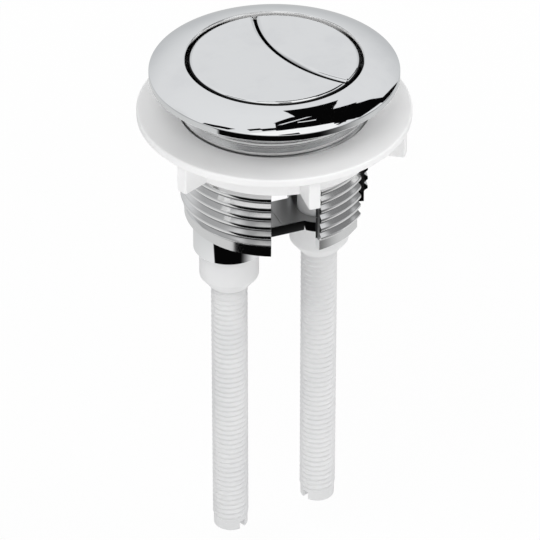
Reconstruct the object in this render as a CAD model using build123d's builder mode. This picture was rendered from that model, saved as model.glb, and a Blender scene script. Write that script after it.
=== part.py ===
"""Dual-flush push button for a cistern lid, every piece modelled where it sits when nothing is pressed.

The barrel axis is Z and the underside of the bezel, which rests on the lid, is z = 0. The two rods
stand on the X axis: the full-flush side at -X, the half-flush side at +X. Sizes are millimetres.
"""

import os
from math import cos, pi, radians, sin

from build123d import *

# Fits between pieces
slide_clearance = 0.3  # a sliding piece in its guide
fit_clearance = 0.1  # a fixed piece in its socket
cap_gap = 1.0  # a button cap inside the bezel opening
split_gap = 0.8  # between the two button caps

# Strokes
press_travel = 5.5
rod_upward_adjustment = 20.0

# Button caps, both flush with the top of the bezel
cap_radius = 24.9
cap_depth = 3.1
cap_skin = 1.7
cap_edge_chamfer = 0.5
split_radius = 43.5
split_centre = (45.0, 11.0)
hub_wall = 2.0
hub_depth = 12.8  # lower end of the hub, below the seat
rib_thickness = 1.4
rib_depth = 4.0  # lower edge of the ribs under a cap, below the cap's top

# Bezel, a domed ring over the edge of the hole in the lid
bezel_radius = 36.5
bezel_edge_height = 2.2  # top of the upright rim
bezel_foot_chamfer = 0.4
bezel_height = 5.85
bezel_bulge = 0.65  # rise of the dome over its chord
bezel_lip_chamfer = 0.35
seat_land = 2.0  # width of the ring that touches the lid
groove_depth = 2.4  # hollow under the bezel, inside that ring

# Barrel and its coarse external thread, drawn as one sharp ridge for each turn
thread_crest_radius = 27.8
thread_depth = 1.3
thread_pitch = 3.2
barrel_wall = 2.0
barrel_length = 45.6
plain_band = 3.5  # smooth end of the barrel below the thread
neck_floor = 0.9  # least height of the neck below the ledge that stops the caps

# Slots in the barrel wall, open at its lower end: two, and the same two half a turn round
slot_top_depth = 16.8
slot_spans = ((-114.0, -82.6), (-46.3, -16.0))

# Rods and the plungers that carry them
rod_spacing = 28.9
rod_radius = 5.5
rod_clearance = 0.15
rod_length = 110.0
full_rod_reach = 89.4  # rod below the full-flush plunger
half_rod_reach = 91.9
rod_tip_length = 3.5
rod_tip_step = 0.3
rod_end_chamfer = 0.5
driver_slot_width = 2.0
driver_slot_depth = 2.8
stem_wall = 0.95
socket_roof = 1.2  # room above the rod when it is screwed fully in
collar_radius = 8.9
full_collar_length = 13.3  # straight part of the full-flush collar
half_collar_length = 7.6
collar_end_lip = 0.4  # wall left round the rod at the small end of the cone
collar_cone_height = 3.6

# Guides inside the barrel
upper_guide_depth = 32.8  # top of the upper guide, below the seat
upper_guide_thickness = 2.0
upper_guide_width = 17.0
lower_guide_depth = 48.3
lower_guide_thickness = 3.5
bridge_width = 13.0
cup_wall = 1.4
cup_depth = 55.8  # lower end of the cups, below the seat
cup_arc = 207.0
cup_arc_centre = 28.5  # turn of the half-flush cup's arc from +X

# Return springs
wire_diameter = 1.0
spring_turns = 4.5
turn_sides = 10  # straight lengths that make up one turn
wire_sides = 4  # corners of the wire's section

# Backnut
nut_top_depth = 10.4
nut_height = 11.6
flange_radius = 40.25
flange_thickness = 2.5
flange_chamfer = 0.5
nut_wall = 2.5
nut_rib_count = 6
nut_rib_thickness = 3.5
nut_rib_inset = 0.95  # end of a rib, inside the flange edge
nut_rib_turn = -94.8

# Sizes worked out from those above
rod_offset = rod_spacing / 2
opening_radius = cap_radius + cap_gap
thread_root_radius = thread_crest_radius - thread_depth
bore_radius = thread_root_radius - barrel_wall
cap_underside = bezel_height - cap_skin
ledge_height = bezel_height - cap_depth - press_travel - slide_clearance
thread_end = plain_band - barrel_length
thread_turns = int((ledge_height - neck_floor - thread_end) / thread_pitch)
neck_end = thread_end + (thread_turns + 0.5) * thread_pitch
rod_bore_radius = rod_radius + rod_clearance
stem_radius = rod_bore_radius + stem_wall
stem_hole_radius = stem_radius + slide_clearance
cup_bore_radius = collar_radius + slide_clearance
cup_radius = cup_bore_radius + cup_wall
guide_end_radius = cup_bore_radius + cup_wall / 2
hub_bore_radius = stem_radius + fit_clearance
hub_radius = hub_bore_radius + hub_wall
collar_top = -lower_guide_depth - lower_guide_thickness - slide_clearance
nut_bore_radius = thread_crest_radius + slide_clearance
nut_radius = nut_bore_radius + nut_wall

full_collar_end = collar_top - full_collar_length
half_collar_end = collar_top - half_collar_length
full_rod_end = full_collar_end - collar_cone_height - full_rod_reach
half_rod_end = half_collar_end - collar_cone_height - half_rod_reach

# What differs between the two flush sides: rod axis, lower end of the collar's straight part, rod's
# lower end, direction of the screwdriver slot
flush_sides = {
    "full_flush": (-rod_offset, full_collar_end, full_rod_end, -67.0),
    "half_flush": (rod_offset, half_collar_end, half_rod_end, 23.0),
}


def wedge(span):
    """Triangle from the axis that covers one angular span, reaching past the bezel."""
    reach = 2 * bezel_radius
    corners = [(reach * cos(radians(turn)), reach * sin(radians(turn))) for turn in span]
    with BuildSketch(mode=Mode.PRIVATE) as sector:
        with BuildLine():
            Polyline((0, 0), *corners, close=True)
        make_face()
    return sector.sketch


def cap_outline(side, inset):
    """Plan of one button cap, drawn in by an inset: the caps share a disc split by a large circle."""
    with BuildSketch(mode=Mode.PRIVATE) as outline:
        Circle(cap_radius - inset)
        with Locations(split_centre):
            if side == "half_flush":
                Circle(split_radius - split_gap / 2 - inset, mode=Mode.INTERSECT)
            else:
                Circle(split_radius + split_gap / 2 + inset, mode=Mode.SUBTRACT)
    return outline.sketch


def cup_plan():
    """Plan of the half-flush cup: a ring round the rod axis, open towards the other cup."""
    with BuildSketch(mode=Mode.PRIVATE) as plan:
        with BuildLine():
            start = cup_arc_centre - cup_arc / 2
            outer = CenterArc((rod_offset, 0), cup_radius, start, cup_arc)
            inner = CenterArc((rod_offset, 0), cup_bore_radius, start, cup_arc)
            Line(outer @ 0, inner @ 0)
            Line(outer @ 1, inner @ 1)
        make_face()
    return plan.sketch


# Body: bezel, barrel, guides and cups in one moulding
with BuildPart() as body:
    with BuildSketch(Plane.XZ) as section:
        with BuildLine():
            foot_radius = bezel_radius - bezel_foot_chamfer
            groove_outer = foot_radius - seat_land
            edge = (bezel_radius, bezel_edge_height)
            lip_radius = opening_radius + bezel_lip_chamfer
            ridges = []
            for turn in range(thread_turns):
                ridge_bottom = thread_end + turn * thread_pitch
                ridges.append((thread_root_radius, ridge_bottom))
                ridges.append((thread_crest_radius, ridge_bottom + thread_pitch / 2))
            Polyline(
                (opening_radius, bezel_height - bezel_lip_chamfer),
                (opening_radius, ledge_height),
                (bore_radius, ledge_height),
                (bore_radius, -barrel_length),
                (thread_root_radius, -barrel_length),
                *ridges,
                (thread_root_radius, neck_end - thread_pitch / 2),
                (thread_crest_radius, neck_end),
                (thread_crest_radius, groove_depth),
                (groove_outer, groove_depth),
                (groove_outer, 0),
                (foot_radius, 0),
                (bezel_radius, bezel_foot_chamfer),
                edge,
            )
            SagittaArc(edge, (lip_radius, bezel_height), -bezel_bulge)
            Line((lip_radius, bezel_height), (opening_radius, bezel_height - bezel_lip_chamfer))
        make_face()
    revolve(axis=Axis.Z)

    with BuildSketch(Plane.XY.offset(-slot_top_depth)) as slots:
        for span in slot_spans:
            add(wedge(span))
            add(wedge(span), rotation=180)
    extrude(amount=-barrel_length, mode=Mode.SUBTRACT)

    with BuildSketch(Plane.XY.offset(-upper_guide_depth)) as upper_guide:
        Circle(bore_radius + barrel_wall / 2)
        Rectangle(2 * thread_crest_radius, upper_guide_width, mode=Mode.INTERSECT)
        with Locations((-rod_offset, 0), (rod_offset, 0)):
            Circle(stem_hole_radius, mode=Mode.SUBTRACT)
    extrude(amount=-upper_guide_thickness)

    with BuildSketch(Plane.XY.offset(-lower_guide_depth)) as lower_guide:
        Rectangle(rod_spacing, bridge_width)
        with Locations((-rod_offset, 0), (rod_offset, 0)):
            Circle(guide_end_radius)
        with Locations((-rod_offset, 0), (rod_offset, 0)):
            Circle(stem_hole_radius, mode=Mode.SUBTRACT)
    extrude(amount=-lower_guide_thickness)

    with BuildSketch(Plane.XY.offset(-cup_depth)) as cups:
        add(cup_plan())
        add(cup_plan(), rotation=180)
    extrude(amount=cup_depth - upper_guide_depth)
body.part.label = "body"


def make_button(side, x):
    """Button cap with a rounded edge, hollow below, and a ribbed hub that grips the plunger stem."""
    with BuildPart() as button:
        with BuildSketch(Plane.XY.offset(bezel_height)):
            add(cap_outline(side, 0))
        extrude(amount=-cap_depth)
        chamfer(button.faces().sort_by(Axis.Z)[-1].edges(), cap_edge_chamfer)
        with BuildSketch(Plane.XY.offset(cap_underside)):
            add(cap_outline(side, cap_skin))
        extrude(amount=-cap_depth, mode=Mode.SUBTRACT)
        with BuildSketch(Plane.XY.offset(cap_underside)):
            with Locations((x, 0)):
                Rectangle(2 * cap_radius, rib_thickness)
                Rectangle(rib_thickness, 2 * cap_radius)
            add(cap_outline(side, cap_skin), mode=Mode.INTERSECT)
        extrude(amount=cap_skin - rib_depth)
        with BuildSketch(Plane.XY.offset(cap_underside)):
            with Locations((x, 0)):
                Circle(hub_radius)
        extrude(amount=-cap_underside - hub_depth)
        with BuildSketch(Plane.XY.offset(cap_underside)):
            with Locations((x, 0)):
                Circle(hub_bore_radius)
        extrude(amount=-cap_underside - hub_depth, mode=Mode.SUBTRACT)
    return button.part


def make_plunger(x, collar_end, rod_end):
    """Hollow stem from the cap down to a collar that slides in its cup and narrows to the rod."""
    cone_end = collar_end - collar_cone_height
    end_radius = rod_bore_radius + collar_end_lip
    socket_top = rod_end + rod_length + rod_upward_adjustment + socket_roof
    with BuildPart() as plunger:
        with BuildSketch(Plane.XZ):
            with BuildLine():
                Polyline(
                    (0, cap_underside),
                    (stem_radius, cap_underside),
                    (stem_radius, collar_top),
                    (collar_radius, collar_top),
                    (collar_radius, collar_end),
                    (end_radius, cone_end),
                    (rod_bore_radius, cone_end),
                    (rod_bore_radius, socket_top),
                    (0, socket_top),
                    close=True,
                )
            make_face()
        revolve(axis=Axis.Z)
    return plunger.part.moved(Location((x, 0, 0)))


def make_rod(x, rod_end, slot_turn):
    """Rod drawn at its thread crest, with a plain tip and a screwdriver slot across the lower end."""
    tip_radius = rod_radius - rod_tip_step
    top = rod_end + rod_length
    with BuildPart() as rod:
        with BuildSketch(Plane.XZ):
            with BuildLine():
                Polyline(
                    (0, top),
                    (rod_radius - rod_end_chamfer, top),
                    (rod_radius, top - rod_end_chamfer),
                    (rod_radius, rod_end + rod_tip_length),
                    (tip_radius, rod_end + rod_tip_length),
                    (tip_radius, rod_end + rod_end_chamfer),
                    (tip_radius - rod_end_chamfer, rod_end),
                    (0, rod_end),
                    close=True,
                )
            make_face()
        revolve(axis=Axis.Z)
        with BuildSketch(Plane.XY.offset(rod_end)):
            Rectangle(2 * rod_radius, driver_slot_width, rotation=slot_turn)
        extrude(amount=driver_slot_depth, mode=Mode.SUBTRACT)
    return rod.part.moved(Location((x, 0, 0)))


def make_spring(x):
    """Coil between the upper guide and the lower end of the hub, each turn made of straight lengths."""
    coil_radius = (stem_radius + slide_clearance + hub_radius) / 2
    coil_bottom = -upper_guide_depth + wire_diameter / 2 + fit_clearance
    coil_top = -hub_depth - wire_diameter / 2 - fit_clearance
    sides = round(spring_turns * turn_sides)
    turns = [2 * pi * side / turn_sides for side in range(sides + 1)]
    rise = (coil_top - coil_bottom) / turns[-1]
    points = [(coil_radius * cos(t), coil_radius * sin(t), coil_bottom + rise * t) for t in turns]
    with BuildPart() as spring:
        with BuildLine() as coil:
            Polyline(*points)
        with BuildSketch(Plane(coil.line @ 0, x_dir=(1, 0, 0), z_dir=coil.line % 0)) as wire:
            RegularPolygon(wire_diameter / 2, wire_sides)
        sweep(sections=wire.sketch, path=coil.line, transition=Transition.RIGHT)
    return spring.part.moved(Location((x, 0, 0)))


# Backnut: flanged collar with ribs under the flange
with BuildPart() as backnut:
    with BuildSketch(Plane.XZ):
        with BuildLine():
            nut_bottom = -nut_top_depth - nut_height
            Polyline(
                (nut_bore_radius, -nut_top_depth),
                (flange_radius, -nut_top_depth),
                (flange_radius, -nut_top_depth - flange_thickness),
                (nut_radius, -nut_top_depth - flange_thickness),
                (nut_radius, nut_bottom),
                (nut_bore_radius, nut_bottom),
                close=True,
            )
        make_face()
    revolve(axis=Axis.Z)
    rim = backnut.edges().filter_by(GeomType.CIRCLE).sort_by(Axis.Z)[-2:].sort_by(SortBy.RADIUS)[-1]
    chamfer(rim, flange_chamfer)
    rib_start = nut_radius - nut_wall / 2
    rib_end = flange_radius - nut_rib_inset
    with BuildSketch(Plane.XY.offset(nut_bottom)):
        with PolarLocations((rib_start + rib_end) / 2, nut_rib_count, start_angle=nut_rib_turn):
            Rectangle(rib_end - rib_start, nut_rib_thickness)
    extrude(amount=nut_height - flange_thickness)
backnut.part.label = "backnut"

pieces = {"body": body.part, "backnut": backnut.part}
for side, (x, collar_end, rod_end, slot_turn) in flush_sides.items():
    pieces[f"{side}_button"] = make_button(side, x)
    pieces[f"{side}_plunger"] = make_plunger(x, collar_end, rod_end)
    pieces[f"{side}_rod"] = make_rod(x, rod_end, slot_turn)
    pieces[f"{side}_spring"] = make_spring(x)

os.makedirs("parts", exist_ok=True)
for name, piece in pieces.items():
    piece.label = name
    export_step(piece, f"parts/{name}.step")
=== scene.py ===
"""Looks of a dual-flush push button for a cistern lid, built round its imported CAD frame.

The frame is loaded first and never moved. Each sub-assembly is a class that holds its sizes, builds
its meshes from numpy grids and dresses them; a studio class adds the floor, light and camera. Sizes
are millimetres, as in the CAD source, and become metres when a mesh is made.
"""

import logging
import math
from dataclasses import dataclass, field
from enum import Enum
from typing import Callable, ClassVar, Mapping, Sequence, Union

import bpy
import numpy as np
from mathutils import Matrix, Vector
from numpy.typing import NDArray


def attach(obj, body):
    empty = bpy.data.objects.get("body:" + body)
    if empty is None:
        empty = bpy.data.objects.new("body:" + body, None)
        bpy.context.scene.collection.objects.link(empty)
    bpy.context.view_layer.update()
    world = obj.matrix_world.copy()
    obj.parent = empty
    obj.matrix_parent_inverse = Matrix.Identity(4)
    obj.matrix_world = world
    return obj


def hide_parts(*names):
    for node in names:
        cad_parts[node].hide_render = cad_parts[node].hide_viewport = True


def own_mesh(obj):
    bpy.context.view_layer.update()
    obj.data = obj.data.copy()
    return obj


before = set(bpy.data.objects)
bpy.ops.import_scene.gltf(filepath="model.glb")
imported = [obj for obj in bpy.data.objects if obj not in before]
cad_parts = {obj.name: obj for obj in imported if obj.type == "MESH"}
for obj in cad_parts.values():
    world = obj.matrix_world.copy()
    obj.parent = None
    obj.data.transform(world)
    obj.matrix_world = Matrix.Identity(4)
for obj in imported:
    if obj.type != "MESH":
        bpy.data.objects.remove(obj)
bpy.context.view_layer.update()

Points = NDArray[np.float64]
Faces = NDArray[np.int64]
Colour = tuple[float, float, float]
Place = Sequence[float]
Span = tuple[float, float]

METRES_PER_MM = 0.001
WELD_MM = 1.3e-4
SHARP_ANGLE = math.radians(42.0)
FULL_TURN = 2 * math.pi
ORIGIN = (0.0, 0.0, 0.0)
TINY = 1e-9
CURVE_GUARD = 0.25  # guard point beside a rounded corner, as a share of its reach
EDGE_GUARD = 1.3  # guard level inside a rounded edge, as a multiple of its radius
ZENITH_GUARD = 1e-4  # least level part of a direction, so that straight up can be divided by it
BLOCK_CORNER = 1.5  # reach of a block's plan corners, as a multiple of its edge radius

log = logging.getLogger("push_button")


class FlushSide(Enum):
    """The two buttons: the value is the prefix of their CAD nodes and bodies."""

    FULL = "full_flush"
    HALF = "half_flush"

    @property
    def sign(self) -> float:
        """Side of the barrel along X: the full-flush rod stands at -X."""
        return -1.0 if self is FlushSide.FULL else 1.0


class MaterialSlot(Enum):
    """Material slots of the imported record."""

    PLATED_BODY = "plated_body"
    PLATED_CAP = "plated_cap"
    WHITE_PLUNGER = "white_plunger"
    WHITE_ROD = "white_rod"
    WHITE_NUT = "white_nut"
    SPRING_WIRE = "spring_wire"


# Meshes


@dataclass
class Shell:
    """A skin of four-sided faces.

    Attributes:
        points: Places of the corners in millimetres, one row each.
        quads: Corner numbers of the faces, anticlockwise seen from outside.
    """

    points: Points
    quads: Faces

    @classmethod
    def grid(cls, points: Points, wrap_rows: bool = False, wrap_cols: bool = False) -> "Shell":
        """Skin over a grid of points, facing the way of (along the rows) x (along the columns).

        Args:
            points: Grid of places, shaped (rows, columns, 3).
            wrap_rows: Join the last row to the first.
            wrap_cols: Join the last column to the first.

        Returns:
            A shell with one face for each cell of the grid.
        """
        rows, cols = points.shape[:2]
        i, j = np.meshgrid(
            np.arange(rows if wrap_rows else rows - 1),
            np.arange(cols if wrap_cols else cols - 1),
            indexing="ij",
        )
        i_next, j_next = (i + 1) % rows, (j + 1) % cols
        corners = [i * cols + j, i_next * cols + j, i_next * cols + j_next, i * cols + j_next]
        return cls(points.reshape(-1, 3), np.stack(corners, axis=-1).reshape(-1, 4))

    def moved(self, offset: Place = ORIGIN, turn: float = 0.0) -> "Shell":
        """Copy turned about Z by an angle in degrees and then shifted.

        Args:
            offset: Shift in millimetres.
            turn: Angle about Z in degrees, applied first.

        Returns:
            The moved shell.
        """
        c, s = math.cos(math.radians(turn)), math.sin(math.radians(turn))
        matrix = np.array([[c, s, 0.0], [-s, c, 0.0], [0.0, 0.0, 1.0]])
        return Shell(self.points @ matrix + np.asarray(offset, float), self.quads)

    def welded(self) -> tuple[Points, Faces, Faces]:
        """Corners that share a place become one, which closes seams, poles and clipped rows.

        Returns:
            The points, the faces that keep four corners and those left with three.
        """
        keys = np.round(self.points / WELD_MM).astype(np.int64)
        _, first, number = np.unique(keys, axis=0, return_index=True, return_inverse=True)
        faces = number.reshape(-1)[self.quads]
        repeated = faces == np.roll(faces, -1, axis=1)
        folded = (faces[:, 0] == faces[:, 2]) | (faces[:, 1] == faces[:, 3])
        four = faces[(repeated.sum(axis=1) == 0) & ~folded]
        half = (repeated.sum(axis=1) == 1) & ~folded
        three = faces[half][~repeated[half]].reshape(-1, 3)
        return self.points[first], four, three


def linked(name: str, data: bpy.types.ID) -> bpy.types.Object:
    """New object in the scene.

    Args:
        name: Name of the object.
        data: Mesh, lamp or camera that it holds.

    Returns:
        The object.
    """
    made = bpy.data.objects.new(name, data)
    bpy.context.scene.collection.objects.link(made)
    return made


def make_piece(name: str, shells: Sequence[Shell], body: str, node: str) -> bpy.types.Object:
    """Puts shells into one mesh object that stands for a CAD node and rides on its body.

    Args:
        name: Name of the piece.
        shells: Closed shells of the piece, in millimetres.
        body: CAD body that carries it.
        node: CAD node that it stands for.

    Returns:
        The new object, at the origin.
    """
    points, faces, start = [], [], 0
    for corners, four, three in (shell.welded() for shell in shells):
        points.append(corners)
        faces += (four + start).tolist() + (three + start).tolist()
        start += len(corners)
    mesh = bpy.data.meshes.new(name)
    mesh.from_pydata(np.concatenate(points) * METRES_PER_MM, [], faces)
    mesh.shade_smooth()
    mesh.set_sharp_from_angle(angle=SHARP_ANGLE)
    piece = linked(name, mesh)
    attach(piece, body)
    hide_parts(node)
    log.info("%s: %d points, %d faces, rides on %s", name, start, len(faces), body)
    return piece


def circle(a: Points) -> Points:
    """Unit vectors (cos a, sin a) at angles in radians."""
    return np.stack([np.cos(a), np.sin(a)], axis=-1)


def polar(r: Points, a: Points, z: Points, axis: Place = ORIGIN) -> Points:
    """Places (x + r cos a, y + r sin a, z) round a vertical axis through x and y.

    Args:
        r: Radii.
        a: Angles in radians.
        z: Heights; all three spread to one shape.
        axis: X and Y of the axis.

    Returns:
        The places, with their coordinates along a new last axis.
    """
    places = np.broadcast_arrays(axis[0] + r * np.cos(a), axis[1] + r * np.sin(a), z)
    return np.stack(places, axis=-1)


def rounded(corners: Sequence[Sequence[float]], steps: int = 5) -> Points:
    """Closed outline with each corner replaced by a quadratic curve.

    The curve leaves the edge at a distance `reach` before the corner C and joins the next edge as
    far after it: (1-t)^2 A + 2t(1-t) C + t^2 B. A guard point beside each end keeps the flats flat.

    Args:
        corners: Two coordinates of each corner and its reach, in order.
        steps: Straight lengths along each curve.

    Returns:
        The curves' points, shaped (corners, points, 2).
    """
    table = np.asarray(corners, float)
    corner, reach = table[:, :2], table[:, 2:]
    before = np.roll(corner, 1, axis=0) - corner
    after = np.roll(corner, -1, axis=0) - corner
    before /= np.linalg.norm(before, axis=1, keepdims=True)
    after /= np.linalg.norm(after, axis=1, keepdims=True)
    start, end = (corner + before * reach)[:, None], (corner + after * reach)[:, None]
    t = np.linspace(0.0, 1.0, steps + 1)[None, :, None]
    curve = (1 - t) ** 2 * start + 2 * t * (1 - t) * corner[:, None] + t**2 * end
    guard = CURVE_GUARD * reach
    guards = (before * guard)[:, None], (after * guard)[:, None]
    return np.concatenate([start + guards[0], curve, end + guards[1]], axis=1)


def turned(profile: Points, segments: int, axis: Place = ORIGIN, closed: bool = True) -> Shell:
    """Profile carried round a vertical axis.

    Args:
        profile: Radius and height of each point, anticlockwise round the material, in any grid.
        segments: Steps of the turn.
        axis: X and Y of the axis.
        closed: The profile is a loop; otherwise it runs from the axis to the axis.

    Returns:
        The turned shell.
    """
    r, z = profile.reshape(1, -1, 2).transpose(2, 0, 1)
    a = np.linspace(0.0, FULL_TURN, segments, endpoint=False)[:, None]
    return Shell.grid(polar(r, a, z, axis), wrap_rows=True, wrap_cols=closed)


def lofted(rings: Points, heights: Points, middle: Place) -> Shell:
    """Outlines stacked on one another, closed below and above by a point.

    Args:
        rings: Anticlockwise outlines from the lowest end of the skin to the highest, (k, n, 2).
        heights: Height of each outline.
        middle: X and Y of the closing points at the first and the last height.

    Returns:
        The closed shell.
    """
    ends = np.broadcast_to(np.asarray(middle, float), (1, rings.shape[1], 2))
    plan = np.concatenate([ends, rings, ends])
    z = np.concatenate([heights[:1], heights, heights[-1:]])
    z = np.broadcast_to(z[:, None, None], plan.shape[:2] + (1,))
    return Shell.grid(np.concatenate([plan, z], axis=-1).transpose(1, 0, 2), wrap_rows=True)


def edge_rounding(radius: float, low: float, high: float, steps: int = 5) -> tuple[Points, Points]:
    """Insets and heights of a skin whose lower and upper edges are quarter circles.

    Args:
        radius: Radius of both quarter circles.
        low: Lower height.
        high: Upper height.
        steps: Straight lengths along each quarter circle.

    Returns:
        Inset from the outline and height of each level, from the lower face to the upper one.
    """
    t = np.linspace(0.0, np.pi / 2, steps + 1)
    inset, rise = radius * (1 - np.sin(t)), radius * (1 - np.cos(t))
    guard = [EDGE_GUARD * radius]
    insets = np.concatenate([guard, inset, inset[::-1], guard])
    heights = np.concatenate([[low], low + rise, high - rise[::-1], [high]])
    return insets, heights


def block(length: float, width: float, low: float, high: float, radius: float) -> Shell:
    """Box centred on the Z axis with all its edges rounded.

    Its plan is a rectangle with quadratic corners; each level is that plan drawn in by its inset.

    Args:
        length: Size along X.
        width: Size along Y.
        low: Lower height.
        high: Upper height.
        radius: Rounding of the edges.

    Returns:
        The closed shell.
    """
    insets, heights = edge_rounding(radius, low, high)
    half = np.array([length, width]) / 2
    signs = ((-1, -1), (1, -1), (1, 1), (-1, 1))
    plan = rounded([(*(sign * half), BLOCK_CORNER * radius) for sign in signs]).reshape(1, -1, 2)
    return lofted(plan * (1 - insets[:, None, None] / half), heights, ORIGIN[:2])


@dataclass(frozen=True)
class Thread:
    """Form of a screw thread.

    Attributes:
        root: Radius at the bottom of the groove.
        depth: Height of the ridge.
        pitch: Rise in one turn.
        fade: Length over which the ridge dies out at both ends.
        start: Height of a groove's middle at angle 0.
        phases: Shares of the pitch over half a ridge; the other half mirrors it.
        rises: Share of the depth at each of them.
    """

    root: float
    depth: float
    pitch: float
    fade: float
    start: float = 0.0
    phases: tuple[float, ...] = (0.0, 0.04, 0.09, 0.25, 0.40, 0.44, 0.47, 0.5)
    rises: tuple[float, ...] = (0.0, 0.015, 0.10, 0.50, 0.88, 0.965, 0.995, 1.0)

    def radius(self, turn: Points, height: Points, low: float, high: float) -> Points:
        """Radius of the ridge: the root plus the depth times the rise at the phase z/pitch - a/2pi.

        Args:
            turn: Angles in radians.
            height: Heights.
            low: Lower end of the thread.
            high: Upper end of the thread.

        Returns:
            Radius at each place.
        """
        phase = (height - self.start) / self.pitch - turn / FULL_TURN
        phase = np.abs(phase - np.floor(phase) - 0.5)
        rise = np.interp(0.5 - phase, self.phases, self.rises)
        ends = np.clip(np.minimum(height - low, high - height) / self.fade, 0.0, 1.0)
        return self.root + self.depth * rise * ends * ends * (3 - 2 * ends)

    def helix_rows(self, turn: Points, low: float, high: float) -> Points:
        """Heights at each angle of the lines that follow the ridge, held between two flat ends.

        Args:
            turn: Angles in radians, within one turn of angle 0.
            low: Lower end.
            high: Upper end.

        Returns:
            Heights in rising order, shaped (angles, lines).
        """
        phases = np.array(self.phases)
        shares = np.concatenate([phases[:-1], 1 - phases[:0:-1]])
        first = math.floor((low - self.start) / self.pitch) - 2
        last = math.ceil((high - self.start) / self.pitch) + 2
        turns = np.arange(first, last)[:, None] + shares[None]
        rows = self.start + self.pitch * turns.reshape(1, -1)
        return np.clip(rows + self.pitch * turn[:, None] / FULL_TURN, low, high)


def wall(turn: Points, heights: Points, outer: Points, inner: Points, axis: Place = ORIGIN) -> Shell:
    """Curved wall between two skins, closed below, above and at both sides.

    At each angle a section runs up the outer skin and down the inner one. A wall that goes all the
    way round has no side faces, because its two ends meet.

    Args:
        turn: Angles in radians, in rising order.
        heights: Height of each row at each angle, shaped (angles, rows).
        outer: Radius of the outer skin there.
        inner: Radius of the inner skin there.
        axis: X and Y of the wall's axis.

    Returns:
        The closed shell.
    """
    r = np.concatenate([outer, inner[:, ::-1]], axis=1)
    z = np.concatenate([heights, heights[:, ::-1]], axis=1)
    shell = Shell.grid(polar(r, turn[:, None], z, axis), wrap_cols=True)
    if turn[-1] - turn[0] < FULL_TURN - TINY:
        k = np.arange(heights.shape[1] - 1)
        across = r.shape[1] - 1
        side = np.stack([k, k + 1, across - k - 1, across - k], axis=-1)
        far_side = side[:, ::-1] + (len(turn) - 1) * r.shape[1]
        shell.quads = np.concatenate([shell.quads, side, far_side])
    return shell


# Shader maths


def operator(operation: str, swapped: bool = False) -> Callable[["Wire", "Operand"], "Wire"]:
    """Method of a wire that adds a Math node for it and one other operand.

    Args:
        operation: Blender's name of the operation.
        swapped: The other operand stands on the left.

    Returns:
        The method.
    """

    def method(wire: "Wire", other: "Operand") -> "Wire":
        """Output of the new Math node."""
        return wire.math(operation, *((other, wire) if swapped else (wire, other)))

    return method


class Wire:
    """An output socket in shader maths: operators on wires and numbers add Math nodes."""

    __add__, __radd__ = operator("ADD"), operator("ADD", swapped=True)
    __sub__, __rsub__ = operator("SUBTRACT"), operator("SUBTRACT", swapped=True)
    __mul__, __rmul__ = operator("MULTIPLY"), operator("MULTIPLY", swapped=True)
    __truediv__, __rtruediv__ = operator("DIVIDE"), operator("DIVIDE", swapped=True)
    larger = operator("MAXIMUM")

    def __init__(self, bench: "Bench", socket: bpy.types.NodeSocket) -> None:
        """Wraps one output socket of a node on a bench."""
        self.bench = bench
        self.socket = socket

    def other(self, output: Union[str, int]) -> "Wire":
        """Another output of the same node."""
        return Wire(self.bench, self.socket.node.outputs[output])

    def math(self, operation: str, *operands: "Operand") -> "Wire":
        """Adds a Math node that works on the operands in order."""
        return self.bench.node("ShaderNodeMath", {"operation": operation}, dict(enumerate(operands)))

    def step(self, low: float, high: float) -> "Wire":
        """Smooth rise from 0 at `low` to 1 at `high`."""
        return self.bench.node(
            "ShaderNodeMapRange",
            {"interpolation_type": "SMOOTHSTEP"},
            {"Value": self, "From Min": low, "From Max": high},
        )

    def band(self, low: float, high: float, soft: float) -> "Wire":
        """1 between two limits and 0 outside them, with edges of a given softness."""
        return self.step(low - soft, low + soft) * (1 - self.step(high - soft, high + soft))


Operand = Union[float, Wire]
SocketValue = Union[float, Sequence[float], Wire]


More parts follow.
